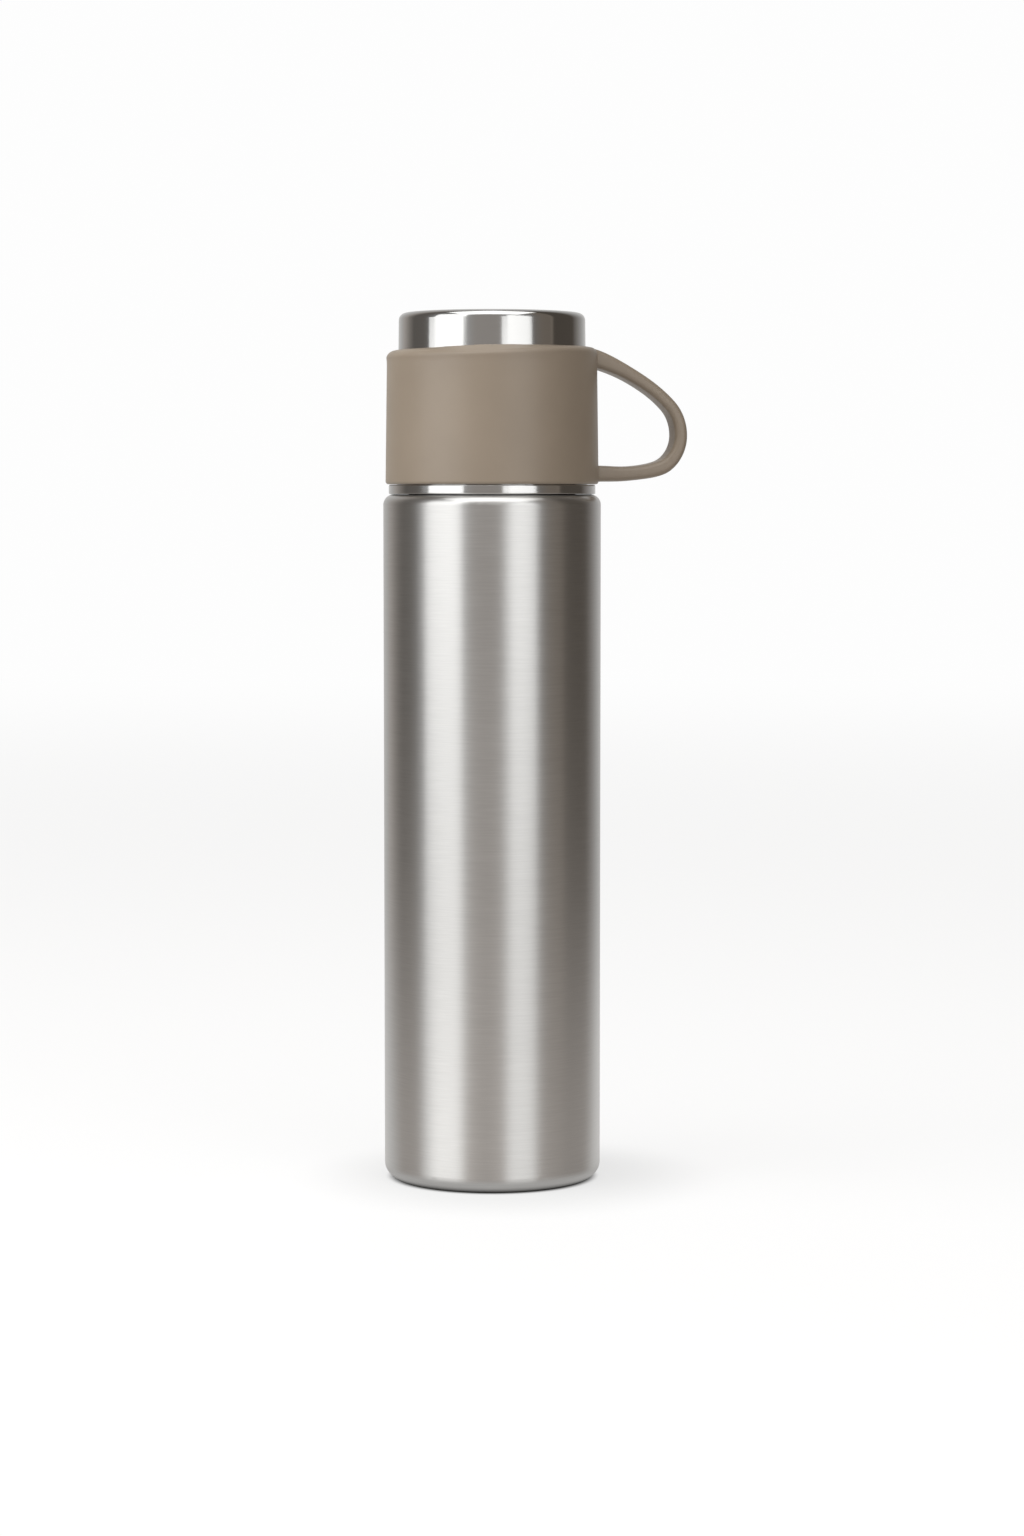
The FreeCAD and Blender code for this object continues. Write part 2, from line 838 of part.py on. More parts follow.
def make_cup_wall():
    """The drawn steel cup, upside down: base at the top, rolled drinking lip at the bottom."""
    gauge = size("cup_wall")
    top = size("cup_top")
    top_radius = size("cup_top_radius")
    mouth = size("cup_mouth_radius")
    lip = size("lip_radius")
    lip_end = mouth + "lip_opening"
    recess = size("recess_radius")
    recess_outside = recess + "recess_slope_shift"
    depth = size("recess_depth")
    return turned("cup_wall", [
        (0, top - gauge - depth),
        (recess, top - gauge - depth, "cup_bend"),
        (recess + "recess_slope", top - gauge, "cup_bend"),
        (top_radius - gauge, top - gauge, size("cup_corner") - gauge),
        (mouth - gauge, "lip_bottom", "lip_bend"),
        (lip, "lip_bottom", "lip_corner"),
        (lip, "lip_top", "lip_corner"),
        (lip_end, "lip_top"),
        (lip_end, size("lip_top") - gauge),
        (lip - gauge, size("lip_top") - gauge),
        (lip - gauge, size("lip_bottom") + gauge),
        (mouth, size("lip_bottom") + gauge, size("lip_bend") - gauge),
        (top_radius, top, "cup_corner"),
        (recess_outside + "recess_slope", top, "cup_bend"),
        (recess_outside, top - depth, "cup_bend"),
        (0, top - depth),
    ])


def draw_handle_path(sketch, root):
    """The centre line of the handle: four tangent arcs and a short straight run into the sleeve."""
    reach = size("handle_reach") - size("handle_thickness") / 2
    middle = size("handle_middle")
    top = size("handle_top")
    low = size("handle_low")
    arm_upper = size("handle_arm_upper")
    bend_upper = size("handle_bend_upper")
    bend_lower = size("handle_bend_lower")
    arm_lower = size("handle_arm_lower")
    vector = FreeCAD.Vector

    start = vector(root.value, top.value, 0)
    upper_centre = vector((reach - bend_upper).value, middle.value, 0)
    lower_centre = vector((reach - bend_lower).value, middle.value, 0)
    # the long upper arc passes through the root and touches the upper bend from outside it
    span = upper_centre - start
    slack = (arm_upper - bend_upper).value
    along = (arm_upper.value ** 2 - slack ** 2 + span.Length ** 2) / (2 * span.Length)
    across = math.sqrt(arm_upper.value ** 2 - along ** 2)
    unit = vector(span.x, span.y, 0).normalize()
    arm_centre = start + unit * along + vector(unit.y, -unit.x, 0) * across
    upper_touch = upper_centre + (upper_centre - arm_centre).normalize() * bend_upper.value
    # the long lower arc touches the lower bend and the straight run
    rise = (low + arm_lower - middle).value
    set_back = math.sqrt((arm_lower - bend_lower).value ** 2 - rise ** 2)
    foot_centre = vector(lower_centre.x - set_back, (low + arm_lower).value, 0)
    lower_touch = lower_centre + (lower_centre - foot_centre).normalize() * bend_lower.value
    foot = vector(foot_centre.x, low.value, 0)

    def arc_between(centre, radius, first, last):
        """The arc from first to last, counter-clockwise about the centre."""
        angles = [math.atan2(point.y - centre.y, point.x - centre.x) for point in (first, last)]
        circle = Part.Circle(centre, vector(0, 0, 1), radius.value)
        return sketch.addGeometry(Part.ArcOfCircle(circle, angles[0], angles[1]), False)

    tip = vector(reach.value, middle.value, 0)
    arm = arc_between(arm_centre, arm_upper, upper_touch, start)
    upper = arc_between(upper_centre, bend_upper, tip, upper_touch)
    lower = arc_between(lower_centre, bend_lower, lower_touch, tip)
    leg = arc_between(foot_centre, arm_lower, foot, lower_touch)
    run = sketch.addGeometry(Part.LineSegment(vector(root.value, low.value, 0), foot), False)
    for first, first_end, second, second_end in ((arm, 1, upper, 2), (upper, 1, lower, 2),
                                                 (lower, 1, leg, 2), (run, 2, leg, 1)):
        sketch.addConstraint(Sketcher.Constraint("Tangent", first, first_end, second, second_end))
    for bend, radius in ((arm, arm_upper), (upper, bend_upper), (lower, bend_lower), (leg, arm_lower)):
        bind(sketch, "Radius", (bend,), radius)
    place_point(sketch, arm, 2, root, top)
    place_point(sketch, run, 1, root, low)
    place_point(sketch, upper, 1, reach, middle)
    sketch.addConstraint(Sketcher.Constraint("Horizontal", run))
    sketch.addConstraint(Sketcher.Constraint("Horizontal", upper, 3, upper, 1))


def make_cup_sleeve():
    """The moulded sleeve round the cup, with a rim that rises at the handle, and one loop handle."""
    outer = size("sleeve_top_radius") - "fit_gap"
    bore = size("sleeve_bore_top") + "fit_gap"
    crease = size("sleeve_crease")
    rim = size("sleeve_rim")
    body = turned("cup_sleeve", [
        ("sleeve_bore_low", "sleeve_bottom"),
        ("sleeve_low_radius", "sleeve_bottom", "sleeve_corner"),
        ("sleeve_top_radius", crease, "sleeve_rim_corner"),
        ("sleeve_bore_top", rim),
    ])
    rise_sketch = new_sketch(body, "rim_rise_section")
    draw_outline(rise_sketch, [
        (bore, crease - "rise_overlap"),
        (outer, crease - "rise_overlap"),
        (outer, crease + "rise_height", "sleeve_rim_corner"),
        (bore, rim + "rise_height", "edge_fine"),
    ])
    rise = body.newObject("PartDesign::Revolution", "rim_rise")
    rise.Profile = rise_sketch
    rise.ReferenceAxis = (rise_sketch, ["V_Axis"])
    rise.Midplane = True
    rise.setExpression("Angle", size("rise_angle").text)
    doc.recompute()

    root = size("handle_root")
    path = new_sketch(body, "handle_path")
    draw_handle_path(path, root)
    section = new_sketch(body, "handle_section", "YZ_Plane")
    section.setExpression("AttachmentOffset.Base.z", root.text)
    half_width = size("handle_width") / 2
    half_height = size("handle_thickness") / 2
    centre = size("handle_top")
    draw_outline(section, [
        (half_width * -1, centre - half_height, "handle_edge"),
        (half_width, centre - half_height, "handle_edge"),
        (half_width, centre + half_height, "handle_edge"),
        (half_width * -1, centre + half_height, "handle_edge"),
    ])
    handle = body.newObject("PartDesign::AdditivePipe", "handle")
    handle.Profile = section
    handle.Spine = path
    doc.recompute()
    return body


MAKERS = [
    make_outer_shell, make_base_cap, make_vacuum_bottom, make_glass_seal, make_getter_clip, make_getter,
    make_liner_bottom, make_inner_liner, make_reflective_foil, make_mouth_ring,
    make_neck_gasket,
    make_stopper_body, make_cup_grip_ring, make_stopper_cover, make_button_guide, make_valve_seat,
    make_button_spring,
    make_push_button, make_valve_stem, make_stem_ring, make_valve_disc, make_valve_seal, make_stem_retainer,
    make_cup_wall, make_cup_sleeve,
]
subparts = [make() for make in MAKERS]
doc.recompute()

for item in doc.Objects:
    if "Invalid" in item.State or "Error" in item.State:
        raise RuntimeError("%s failed: %s" % (item.Label, item.State))
for subpart in subparts:
    shape = subpart.Shape
    if shape.isNull() or not shape.isValid() or len(shape.Solids) != 1:
        raise RuntimeError("%s is not one valid solid" % subpart.Label)

os.makedirs("parts", exist_ok=True)
for subpart in subparts:
    subpart.Shape.exportStep(os.path.join("parts", subpart.Label + ".step"))
    print("%-18s %10.2f mm3" % (subpart.Label, subpart.Shape.Volume))
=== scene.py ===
"""Looks of the vacuum flask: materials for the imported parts, the moulded cup sleeve, a studio, a camera.

Everything is in metres in the part's own frame: base centre at the origin, +Z up, handle along +X.
"""
import json
import math

import bpy
import numpy as np
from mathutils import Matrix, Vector


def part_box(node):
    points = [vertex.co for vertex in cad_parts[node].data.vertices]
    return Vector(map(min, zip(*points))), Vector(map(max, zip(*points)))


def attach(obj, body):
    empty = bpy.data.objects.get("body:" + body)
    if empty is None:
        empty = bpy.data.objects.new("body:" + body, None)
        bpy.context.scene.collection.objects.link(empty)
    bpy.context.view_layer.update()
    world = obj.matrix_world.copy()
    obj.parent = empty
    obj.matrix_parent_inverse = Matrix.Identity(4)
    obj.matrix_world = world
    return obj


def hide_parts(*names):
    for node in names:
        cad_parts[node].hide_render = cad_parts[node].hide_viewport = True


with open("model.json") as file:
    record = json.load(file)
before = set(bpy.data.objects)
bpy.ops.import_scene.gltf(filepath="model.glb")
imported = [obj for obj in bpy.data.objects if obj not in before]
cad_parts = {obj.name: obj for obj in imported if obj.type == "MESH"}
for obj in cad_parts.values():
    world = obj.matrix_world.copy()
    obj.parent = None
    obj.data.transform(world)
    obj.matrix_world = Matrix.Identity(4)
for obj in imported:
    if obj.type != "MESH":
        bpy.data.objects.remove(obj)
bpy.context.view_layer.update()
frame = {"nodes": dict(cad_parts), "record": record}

MM = 0.001

# ---- the moulded sleeve and its handle, in millimetres -------------------------------------------

SLEEVE_LOW, SLEEVE_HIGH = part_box("cup_sleeve")
SLEEVE_BASE = SLEEVE_LOW.z / MM
HANDLE_REACH = SLEEVE_HIGH.x / MM
SLEEVE_BASE_RADIUS = -SLEEVE_LOW.x / MM
SLEEVE_RIM_RADIUS = 31.28
BORE_RADIUS_BASE = 28.45
BORE_RADIUS_RIM = 27.93
RIM_HEIGHT = 248.4
RIM_RISE = 0.85
RIM_RISE_NEAR = 0.2
CREASE_HEIGHT = 247.9
CREASE_DIP = 1.1
CREASE_RISE = 2.1
EDGE_FAR = 2.0
EDGE_DIP = 1.6
EDGE_RISE = 1.1
BEAD = 0.2
BEAD_HEIGHT = 246.6
BASE_ROUNDING = 0.9
BORE_ROUNDING = 0.25
BEAD_SPREAD = 1.3
# bearings from the handle in degrees, (first, last): where the rim leaves its dip, climbs, is highest
DIP_BEARINGS = (150.0, 120.0)
CLIMB_BEARINGS = (120.0, 40.0)
RIM_BEARINGS = (150.0, 102.0)
RIM_NEAR_BEARINGS = (60.0, 20.0)
HANDLE_MIDDLE = 223.0
HANDLE_ROOT_RADIUS = 29.9
HANDLE_ROOT_TOP = 246.3
HANDLE_LOW_LINE = 211.6
UPPER_ARM_RADIUS = 52.8
UPPER_BEND_RADIUS = 13.0
LOWER_BEND_RADIUS = 9.6
LOWER_ARM_RADIUS = 40.0
HANDLE_THICKNESS = 4.2
HANDLE_WIDTH = 9.6
HANDLE_ROUNDING = 1.25
HANDLE_CROWN = 0.3
# (place along the handle, spread, extra thickness, shift outwards)
HANDLE_SWELLS = [
    (0.0, 0.12, 1.35, 0.12),
    (0.37, 0.14, -0.27, 0.465),
    (0.70, 0.08, 0.35, 0.52),
    (1.0, 0.14, 0.70, -0.22),
]
HANDLE_TIP_SWELL = 0.13
ROOT_BLEND = 0.35
CELL = 0.36


def smoothstep(value):
    """0 below 0, 1 above 1, smooth in between."""
    value = np.clip(value, 0.0, 1.0)
    return value * value * (3.0 - 2.0 * value)


def change_over(bearing, bearings):
    """0 at the first bearing and beyond, 1 at the last, smooth in between."""
    first, last = bearings
    return smoothstep((first - bearing) / (first - last))


def handle_arcs():
    """Centre line of the handle from its upper root: four tangent arcs, each (centre, radius, bearings)."""
    tip = HANDLE_REACH - HANDLE_THICKNESS / 2 - HANDLE_TIP_SWELL
    root = np.array([HANDLE_ROOT_RADIUS, HANDLE_ROOT_TOP])
    upper = np.array([tip - UPPER_BEND_RADIUS, HANDLE_MIDDLE])
    lower = np.array([tip - LOWER_BEND_RADIUS, HANDLE_MIDDLE])
    span = upper - root
    length = np.hypot(*span)
    unit = span / length
    slack = UPPER_ARM_RADIUS - UPPER_BEND_RADIUS
    along = (UPPER_ARM_RADIUS ** 2 - slack ** 2 + length ** 2) / (2 * length)
    across = math.sqrt(UPPER_ARM_RADIUS ** 2 - along ** 2)
    arm = root + unit * along + np.array([unit[1], -unit[0]]) * across
    rise = HANDLE_LOW_LINE + LOWER_ARM_RADIUS - HANDLE_MIDDLE
    set_back = math.sqrt((LOWER_ARM_RADIUS - LOWER_BEND_RADIUS) ** 2 - rise ** 2)
    foot = np.array([lower[0] - set_back, HANDLE_LOW_LINE + LOWER_ARM_RADIUS])

    def bearing(centre, point):
        return math.atan2(point[1] - centre[1], point[0] - centre[0])

    touch_upper = bearing(arm, upper)
    touch_lower = bearing(foot, lower)
    return [
        (arm, UPPER_ARM_RADIUS, bearing(arm, root), touch_upper),
        (upper, UPPER_BEND_RADIUS, touch_upper, 0.0),
        (lower, LOWER_BEND_RADIUS, 0.0, touch_lower),
        (foot, LOWER_ARM_RADIUS, touch_lower, -math.pi / 2),
    ]


ARCS = handle_arcs()
FOOT_RUN = ARCS[-1][0][0] - HANDLE_ROOT_RADIUS
HANDLE_LENGTH = FOOT_RUN + sum(radius * (first - last) for _, radius, first, last in ARCS)


def distance_to_line(x, z):
    """Signed distance in XZ from the handle's centre line, positive outside, and the place along it."""
    run = np.clip(ARCS[-1][0][0] - x, 0.0, FOOT_RUN)
    best = np.hypot(x - ARCS[-1][0][0] + run, z - HANDLE_LOW_LINE)
    signed = np.copysign(best, HANDLE_LOW_LINE - z)
    share = 1.0 - (FOOT_RUN - run) / HANDLE_LENGTH
    passed = 0.0
    for centre, radius, first, last in ARCS:
        bearing = np.clip(np.arctan2(z - centre[1], x - centre[0]), last, first)
        gap = np.hypot(x - centre[0] - radius * np.cos(bearing), z - centre[1] - radius * np.sin(bearing))
        outside = np.hypot(x - centre[0], z - centre[1]) - radius
        closer = gap < best
        best = np.where(closer, gap, best)
        signed = np.where(closer, np.copysign(gap, outside), signed)
        share = np.where(closer, (passed + radius * (first - bearing)) / HANDLE_LENGTH, share)
        passed += radius * (first - last)
    return signed, share


def round_and(a, b, radius):
    """Solid common to a and b, with the edge between them rounded."""
    corner = np.hypot(np.maximum(radius + a, 0.0), np.maximum(radius + b, 0.0))
    return np.minimum(-radius, np.maximum(a, b)) + corner


def round_or(a, b, radius):
    """Solid of a and b together, with the inside corner between them filled."""
    corner = np.hypot(np.maximum(radius - a, 0.0), np.maximum(radius - b, 0.0))
    return np.maximum(radius, np.minimum(a, b)) - corner


def handle_field(x, y, z):
    """Signed distance to the handle: a slightly crowned strap with rounded edges that swells in places."""
    gap, share = distance_to_line(x, z)
    thickness = np.full(x.shape, HANDLE_THICKNESS)
    for place, spread_along, extra, shift in HANDLE_SWELLS:
        swell = np.exp(-((share - place) / spread_along) ** 2)
        thickness += extra * swell
        gap = gap - shift * swell
    thinner = HANDLE_CROWN * (2.0 * y / HANDLE_WIDTH) ** 2
    narrower = HANDLE_CROWN * (2.0 * gap / thickness) ** 2
    across = np.sqrt(gap ** 2 + 0.01) - thickness / 2 + thinner + HANDLE_ROUNDING
    beside = np.abs(y) - HANDLE_WIDTH / 2 + narrower + HANDLE_ROUNDING
    outside = np.hypot(np.maximum(across, 0.0), np.maximum(beside, 0.0))
    return outside + np.minimum(np.maximum(across, beside), 0.0) - HANDLE_ROUNDING


def sleeve_field(x, y, z):
    """Signed distance to the sleeve: a drafted tube whose sloping rim climbs towards the handle."""
    radius = np.hypot(x, y)
    bearing = np.degrees(np.abs(np.arctan2(y, x)))
    dip = change_over(bearing, DIP_BEARINGS)
    rise = change_over(bearing, CLIMB_BEARINGS)
    crease = CREASE_HEIGHT - CREASE_DIP * dip + CREASE_RISE * rise
    rim = RIM_HEIGHT + RIM_RISE * change_over(bearing, RIM_BEARINGS)
    rim += RIM_RISE_NEAR * change_over(bearing, RIM_NEAR_BEARINGS)
    height = (z - SLEEVE_BASE) / (RIM_HEIGHT - SLEEVE_BASE)
    bead = BEAD * np.exp(-((z - BEAD_HEIGHT) / BEAD_SPREAD) ** 2) * (1.0 - rise)
    wall = SLEEVE_BASE_RADIUS + (SLEEVE_RIM_RADIUS - SLEEVE_BASE_RADIUS) * height + bead
    bore = BORE_RADIUS_BASE + (BORE_RADIUS_RIM - BORE_RADIUS_BASE) * height
    outer = radius - wall
    fall = rim - crease
    depth = SLEEVE_RIM_RADIUS - BORE_RADIUS_RIM
    top = ((z - rim) * depth + (radius - BORE_RADIUS_RIM) * fall) / np.hypot(depth, fall)
    edge = EDGE_FAR - EDGE_DIP * dip + EDGE_RISE * rise
    solid = round_and(outer, top, edge)
    solid = round_and(solid, SLEEVE_BASE - z, BASE_ROUNDING)
    return solid, bore - radius


def cup_sleeve_field(points):
    """Signed distance in millimetres to the sleeve with its handle, at points (n, 3)."""
    x, y, z = points.T
    solid, inside_bore = sleeve_field(x, y, z)
    beside_handle = (x > BORE_RADIUS_RIM - 2.0) & (np.abs(y) < HANDLE_WIDTH / 2 + 3.0)
    handle = handle_field(x[beside_handle], y[beside_handle], z[beside_handle])
    solid[beside_handle] = round_or(solid[beside_handle], handle, ROOT_BLEND)
    return round_and(solid, inside_bore, BORE_ROUNDING)


def surface_of(field, low, high, cell):
    """Quads round the zero surface of a signed distance field, with their corners moved onto it."""
    axes = [np.arange(low[i] - 2 * cell, high[i] + 3 * cell, cell) for i in range(3)]
    shape = [len(axis) for axis in axes]
    grid = np.stack(np.meshgrid(*axes, indexing="ij"), -1).reshape(-1, 3)
    values = field(grid).reshape(shape)
    cells = [count - 1 for count in shape]
    total = np.zeros(cells + [3])
    crossings = np.zeros(cells)
    for axis in range(3):
        others = [other for other in range(3) if other != axis]
        for first in (0, 1):
            for second in (0, 1):
                start = [None, None, None]
                start[axis] = slice(0, cells[axis])
                start[others[0]] = slice(first, first + cells[others[0]])
                start[others[1]] = slice(second, second + cells[others[1]])
                end = list(start)
                end[axis] = slice(1, 1 + cells[axis])
                a = values[tuple(start)]
                b = values[tuple(end)]
                crossed = (a < 0) != (b < 0)
                share = np.where(crossed, a / np.where(crossed, a - b, 1.0), 0.0)
                total[..., axis] += share
                total[..., others[0]] += crossed * first
                total[..., others[1]] += crossed * second
                crossings += crossed
    used = crossings > 0
    number = np.full(cells, -1)
    number[used] = np.arange(used.sum())
    corner = np.stack(np.nonzero(used), -1)
    origin = np.array([axis[0] for axis in axes])
    points = origin + (corner + total[used] / crossings[used][:, None]) * cell
    quads = []
    for axis in range(3):
        u, v = (axis + 1) % 3, (axis + 2) % 3
        a = np.moveaxis(values, (axis, u, v), (0, 1, 2))
        index = np.moveaxis(number, (axis, u, v), (0, 1, 2))
        low_side = a[:-1, 1:-1, 1:-1] < 0
        high_side = a[1:, 1:-1, 1:-1] < 0
        around = [index[:, :-1, :-1], index[:, 1:, :-1], index[:, 1:, 1:], index[:, :-1, 1:]]
        leaving = low_side & ~high_side
        entering = ~low_side & high_side
        quads.append(np.stack([part[leaving] for part in around], -1))
        quads.append(np.stack([part[entering] for part in around[::-1]], -1))
    for _ in range(4):
        value, slope = probe(field, points, cell)
        steepness = np.maximum((slope ** 2).sum(-1), 0.25)
        points = points - slope * np.clip(value / steepness, -cell / 2, cell / 2)[:, None]
    slope = probe(field, points, cell)[1]
    return points, np.concatenate(quads), slope / np.linalg.norm(slope, axis=1)[:, None]


def probe(field, points, cell):
    """Value and slope of a field at points."""
    reach = cell * 0.1
    slope = np.stack([
        field(points + offset) - field(points - offset) for offset in np.eye(3) * reach
    ], -1) / (2 * reach)
    return field(points), slope


def make_mesh(name, points, faces, normals=None):
    """A smooth-shaded mesh object in the scene."""
    mesh = bpy.data.meshes.new(name)
    mesh.from_pydata(points.tolist(), [], faces.tolist())
    mesh.update()
    mesh.polygons.foreach_set("use_smooth", [True] * len(mesh.polygons))
    if normals is not None:
        mesh.normals_split_custom_set_from_vertices(normals.tolist())
    piece = bpy.data.objects.new(name, mesh)
    bpy.context.scene.collection.objects.link(piece)
    return piece


def make_sleeve():
    """The moulded sleeve with its handle, on the cup in place of the CAD one."""
    low = np.array(SLEEVE_LOW) / MM
    high = np.array(SLEEVE_HIGH) / MM
    points, quads, normals = surface_of(cup_sleeve_field, low, high, CELL)
    piece = make_mesh("moulded_sleeve", points * MM, quads, normals)
    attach(piece, "cup")
    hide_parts("cup_sleeve")
    return piece


# ---- materials -----------------------------------------------------------------------------------

def new_material(name, **sockets):
    """A material with its shader's constant sockets set; returns the material, its tree and shader."""
    material = bpy.data.materials.new(name)
    material.use_nodes = True
    tree = material.node_tree
    shader = tree.nodes["Principled BSDF"]
    for socket, value in sockets.items():
        shader.inputs[socket.replace("_", " ")].default_value = value
    return material, tree, shader


def noise(tree, scale, detail=3.0, stretch=(1.0, 1.0, 1.0)):
    """Noise in object space, in cells per metre, stretched along the axes."""
    place = tree.nodes.new("ShaderNodeTexCoord")
    mapping = tree.nodes.new("ShaderNodeMapping")
    mapping.inputs["Scale"].default_value = stretch
    texture = tree.nodes.new("ShaderNodeTexNoise")
    texture.inputs["Scale"].default_value = scale
    texture.inputs["Detail"].default_value = detail
    tree.links.new(place.outputs["Object"], mapping.inputs["Vector"])
    tree.links.new(mapping.outputs["Vector"], texture.inputs["Vector"])
    return texture.outputs["Fac"]


def spread(tree, value, low, high, from_low=0.3, from_high=0.7):
    """Map a value's middle range onto low to high."""
    node = tree.nodes.new("ShaderNodeMapRange")
    node.inputs["From Min"].default_value = from_low
    node.inputs["From Max"].default_value = from_high
    node.inputs["To Min"].default_value = low
    node.inputs["To Max"].default_value = high
    tree.links.new(value, node.inputs["Value"])
    return node.outputs["Result"]


def tint(tree, value, dark, light):
    """Blend two colours by a value."""
    node = tree.nodes.new("ShaderNodeMix")
    node.data_type = "RGBA"
    node.inputs["A"].default_value = (*dark, 1.0)
    node.inputs["B"].default_value = (*light, 1.0)
    tree.links.new(value, node.inputs["Factor"])
    return node.outputs["Result"]


def add_bump(tree, shader, height, distance):
    """Relief from a height value, with its depth in metres."""
    node = tree.nodes.new("ShaderNodeBump")
    node.inputs["Strength"].default_value = 1.0
    node.inputs["Distance"].default_value = distance
    tree.links.new(height, node.inputs["Height"])
    tree.links.new(node.outputs["Normal"], shader.inputs["Normal"])


def shade(colour, factor):
    """A colour made darker or lighter."""
    return tuple(channel * factor for channel in colour)


def steel_material(name, colour, roughness, grain, bump, anisotropy, variation):
    """Steel with a fine grain that runs round the axis and spreads its reflections up and down."""
    material, tree, shader = new_material(
        name, Metallic=1.0, Anisotropic=anisotropy, Anisotropic_Rotation=0.25)
    lines = noise(tree, 1.0, 4.0, (110.0, 110.0, grain))
    patches = noise(tree, 45.0, 2.0, (1.0, 1.0, 0.35))
    tree.links.new(tint(tree, spread(tree, lines, 0.0, 1.0), shade(colour, 1.0 - variation), colour),
                   shader.inputs["Base Color"])
    total = tree.nodes.new("ShaderNodeMath")
    total.operation = "ADD"
    tree.links.new(spread(tree, lines, roughness * 0.96, roughness * 1.03), total.inputs[0])
    tree.links.new(spread(tree, patches, -0.008, 0.008), total.inputs[1])
    tree.links.new(total.outputs["Value"], shader.inputs["Roughness"])
    tangent = tree.nodes.new("ShaderNodeTangent")
    tangent.direction_type = "RADIAL"
    tangent.axis = "Z"
    tree.links.new(tangent.outputs["Tangent"], shader.inputs["Tangent"])
    add_bump(tree, shader, lines, bump)
    return material


PLASTIC_GRAIN = 9000.0
PLASTIC_RELIEF = 0.000004


def plastic_material(name, colour, roughness):
    """Moulded plastic: fine texture, faint mottling, slightly uneven gloss."""
    material, tree, shader = new_material(name)
    fine = noise(tree, PLASTIC_GRAIN, 2.0)
    broad = noise(tree, 60.0, 3.0)
    tree.links.new(tint(tree, spread(tree, broad, 0.0, 1.0), shade(colour, 0.96), shade(colour, 1.03)),
                   shader.inputs["Base Color"])
    tree.links.new(spread(tree, fine, roughness * 0.92, roughness * 1.08), shader.inputs["Roughness"])
    add_bump(tree, shader, fine, PLASTIC_RELIEF)
    return material


def silicone_material(name, colour):
    """Soft rubber with a little light inside it and dust on it."""
    material, tree, shader = new_material(name, Subsurface_Weight=0.25, Subsurface_Scale=0.002)
    dust = noise(tree, 700.0, 4.0)
    tree.links.new(tint(tree, spread(tree, dust, 0.0, 1.0), shade(colour, 0.93), colour),
                   shader.inputs["Base Color"])
    tree.links.new(spread(tree, dust, 0.5, 0.62), shader.inputs["Roughness"])
    add_bump(tree, shader, dust, 0.00003)
    return material


def foil_material(name, colour):
    """Wrapped metal foil with creases."""
    material, tree, shader = new_material(name, Metallic=1.0)
    creases = noise(tree, 160.0, 5.0, (1.0, 1.0, 0.5))
    tree.links.new(tint(tree, spread(tree, creases, 0.0, 1.0), shade(colour, 0.8), colour),
                   shader.inputs["Base Color"])
    tree.links.new(spread(tree, creases, 0.18, 0.3), shader.inputs["Roughness"])
    add_bump(tree, shader, creases, 0.0002)
    return material


def mineral_material(name, colour, roughness, grain):
    """Sintered or fused grain, for the getter pill and the glass bead."""
    material, tree, shader = new_material(name)
    specks = noise(tree, grain, 4.0)
    tree.links.new(tint(tree, spread(tree, specks, 0.0, 1.0), shade(colour, 0.7), shade(colour, 1.15)),
                   shader.inputs["Base Color"])
    tree.links.new(spread(tree, specks, roughness * 0.8, roughness), shader.inputs["Roughness"])
    add_bump(tree, shader, specks, 0.00005)
    return material


TAUPE = (0.280, 0.229, 0.176)
STEEL = (0.64, 0.638, 0.63)

DARK_PLASTIC = (0.035, 0.035, 0.037)

# steels: colour, roughness, grain lines per metre, relief, anisotropy, variation of the colour
materials = {
    name: steel_material(name, *look) for name, look in {
        "brushed_steel_body": (STEEL, 0.30, 2600.0, 0.000003, 0.6, 0.07),
        "cup_steel": ((0.61, 0.61, 0.605), 0.13, 7000.0, 0.000001, 0.45, 0.03),
        "satin_steel": ((0.62, 0.61, 0.60), 0.30, 5000.0, 0.000004, 0.3, 0.05),
        "polished_steel": ((0.66, 0.655, 0.65), 0.16, 2500.0, 0.000003, 0.2, 0.03),
        "spring_steel": ((0.62, 0.61, 0.60), 0.22, 6000.0, 0.000002, 0.1, 0.04),
    }.items()
}
materials.update({
    "copper_foil": foil_material("copper_foil", (0.78, 0.40, 0.24)),
    "solder_glass": mineral_material("solder_glass", (0.34, 0.31, 0.26), 0.25, 1500.0),
    "getter_grey": mineral_material("getter_grey", (0.17, 0.17, 0.175), 0.85, 4000.0),
    "white_silicone": silicone_material("white_silicone", (0.76, 0.745, 0.71)),
    "clear_silicone": silicone_material("clear_silicone", (0.62, 0.61, 0.58)),
    "stopper_plastic": plastic_material("stopper_plastic", DARK_PLASTIC, 0.42),
    "button_plastic": plastic_material("button_plastic", shade(TAUPE, 0.95), 0.4),
    "taupe_plastic": plastic_material("taupe_plastic", TAUPE, 0.39),
})

sleeve = make_sleeve()
sleeve.data.materials.append(materials["taupe_plastic"])
for subpart in frame["record"]["subparts"]:
    node = frame["nodes"][subpart["node"]]
    node.data.materials.clear()
    node.data.materials.append(materials[subpart["material_slot"]])


# ---- studio --------------------------------------------------------------------------------------

CAMERA_BEARING = -12.0
CAMERA_DISTANCE = 1.1034
CAMERA_HEIGHT = 0.20596
CAMERA_SHIFT_ASIDE = 0.005954
CAMERA_PITCH = 4.2685
FOCAL_LENGTH = 86.3
FRAME_LONG_SIDE = 36.0

SOFTBOX_DISTANCE = 1.3
SOFTBOX_COLOUR = (1.0, 1.0, 0.995)
BACKDROP = 0.985
FLOOR_GLOW = 0.80
FLOOR_SHADE = 0.2
# painted shadow: how dark the floor's painted light gets round the flask's base
PAINTED_SHADOW_DEPTH = 0.86
NEUTRAL = (1.0, 0.985, 0.965)
CREAM = (1.0, 0.925, 0.865)
BROWN = (1.0, 0.85, 0.71)
SAND = (1.0, 0.91, 0.83)
